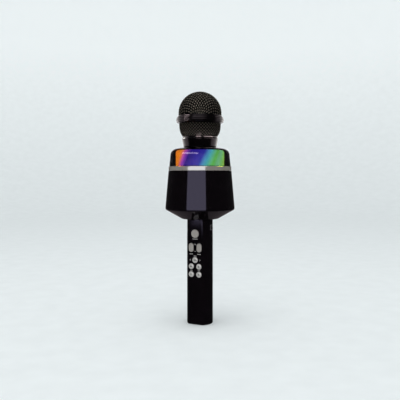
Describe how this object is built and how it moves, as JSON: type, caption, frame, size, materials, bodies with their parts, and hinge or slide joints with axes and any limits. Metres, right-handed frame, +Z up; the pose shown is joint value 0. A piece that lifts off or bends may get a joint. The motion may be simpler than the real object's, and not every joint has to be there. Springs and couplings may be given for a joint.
{
  "type": "karaoke microphone",
  "caption": "Handheld karaoke microphone with a mesh ball head, a coloured light ring, a tapered speaker drum and a slim handle with a key panel.",
  "frame": {"origin": "centre of the flat foot of the handle, on the surface the microphone stands on", "axes": "+Z up along the handle towards the ball head, -Y towards the key panel, +X towards the power switch"},
  "size_m": [0.075, 0.075, 0.25],
  "materials": {
    "grille_wire": "woven steel wire, dark satin plating",
    "grille_trim": "dark polished plating",
    "collar_metal": "dark polished plating, bright lip",
    "foam": "open-cell foam",
    "rubber": "matt",
    "capsule_metal": "satin",
    "black_plastic": "fine matt",
    "clear_cover": "clear polished plastic",
    "light_diffuser": "milky, lit from inside in changing colours",
    "circuit_board": "green solder mask",
    "silver_trim": "satin silver",
    "gloss_black": "piano black",
    "steel": "zinc plated",
    "paper": "coated paper",
    "copper": "enamelled winding",
    "key": "satin silver-grey",
    "cell_wrap": "shrink wrap over a metal can",
    "wire_sleeve": "bundled insulated leads"
  },
  "bodies": {
    "casing": {"neck_tube": "black_plastic", "neck_collar": "collar_metal", "capsule_mount": "black_plastic", "capsule_boot": "rubber", "mic_capsule": "capsule_metal", "lamp_cover": "clear_cover", "light_diffuser": "light_diffuser", "led_board": "circuit_board", "trim_ring": "silver_trim", "speaker_housing": "gloss_black", "top_deck": "black_plastic", "deck_screw_1": "steel", "deck_screw_2": "steel", "deck_screw_3": "steel", "lower_cone": "gloss_black", "outlet_ring": "black_plastic", "speaker_frame": "steel", "speaker_magnet": "steel", "speaker_surround": "rubber", "handle_front": "gloss_black", "handle_rear": "gloss_black", "end_cap": "gloss_black", "upper_handle_screw": "steel", "lower_handle_screw": "steel", "button_panel": "gloss_black", "keypad_mat": "rubber", "main_board": "circuit_board", "battery": "cell_wrap", "switch_bezel": "silver_trim", "switch_body": "black_plastic", "port_board": "circuit_board", "usb_port": "steel", "audio_jack": "black_plastic", "card_reader": "steel", "wiring_loom": "wire_sleeve"},
    "head_seal": {"head_seal": "rubber"},
    "head": {"grille_dome": "grille_wire", "grille_band": "grille_trim", "grille_basket": "grille_wire", "head_base": "grille_trim", "grille_foam": "foam"},
    "diaphragm": {"speaker_cone": "paper", "dust_cap": "paper", "voice_coil": "copper"},
    "power_switch": {"power_switch": "black_plastic"},
    "effect_button": {"effect_button": "key"},
    "play_button": {"play_button": "key"},
    "upper_left_key": {"upper_left_key": "key"},
    "upper_right_key": {"upper_right_key": "key"},
    "lower_left_key": {"lower_left_key": "key"},
    "lower_right_key": {"lower_right_key": "key"},
    "music_rocker": {"music_rocker": "key"},
    "voice_rocker": {"voice_rocker": "key"}
  },
  "joints": [
    {"name": "head_lift", "type": "slide", "parent": "casing", "child": "head_seal", "axis": [0, 0, 1], "range_m": [0, 0.0046]},
    {"name": "head_turn", "type": "hinge", "parent": "head_seal", "child": "head", "pos_m": [0, 0, 0.2], "axis": [0, 0, 1], "range_deg": [0, 1080]},
    {"name": "diaphragm_stroke", "type": "slide", "parent": "casing", "child": "diaphragm", "axis": [0, 0, 1], "range_m": [-0.0015, 0.0015], "stiffness_N_per_m": 1200, "deforming": ["speaker_surround"]},
    {"name": "effect_button_press", "type": "slide", "parent": "casing", "child": "effect_button", "axis": [0, 1, 0], "range_m": [0, 0.0008], "stiffness_N_per_m": 400, "springref_m": -0.001},
    {"name": "play_button_press", "type": "slide", "parent": "casing", "child": "play_button", "axis": [0, 1, 0], "range_m": [0, 0.0006], "stiffness_N_per_m": 400, "springref_m": -0.001},
    {"name": "upper_left_key_press", "type": "slide", "parent": "casing", "child": "upper_left_key", "axis": [0, 1, 0], "range_m": [0, 0.0006], "stiffness_N_per_m": 400, "springref_m": -0.001},
    {"name": "upper_right_key_press", "type": "slide", "parent": "casing", "child": "upper_right_key", "axis": [0, 1, 0], "range_m": [0, 0.0006], "stiffness_N_per_m": 400, "springref_m": -0.001},
    {"name": "lower_left_key_press", "type": "slide", "parent": "casing", "child": "lower_left_key", "axis": [0, 1, 0], "range_m": [0, 0.0006], "stiffness_N_per_m": 400, "springref_m": -0.001},
    {"name": "lower_right_key_press", "type": "slide", "parent": "casing", "child": "lower_right_key", "axis": [0, 1, 0], "range_m": [0, 0.0006], "stiffness_N_per_m": 400, "springref_m": -0.001},
    {"name": "music_rocker_rock", "type": "hinge", "parent": "casing", "child": "music_rocker", "pos_m": [-0.0047, -0.0096, 0.0822], "axis": [1, 0, 0], "range_deg": [-5, 5], "stiffness_Nm_per_rad": 0.02},
    {"name": "voice_rocker_rock", "type": "hinge", "parent": "casing", "child": "voice_rocker", "pos_m": [0.0047, -0.0096, 0.0822], "axis": [1, 0, 0], "range_deg": [-5, 5], "stiffness_Nm_per_rad": 0.02},
    {"name": "power_switch_slide", "type": "slide", "parent": "casing", "child": "power_switch", "axis": [0, 0, 1], "range_m": [0, 0.002]}
  ],
  "couplings": [
    {"joint": "head_lift", "follows": "head_turn", "m_per_rad": 0.00023873}
  ]
}
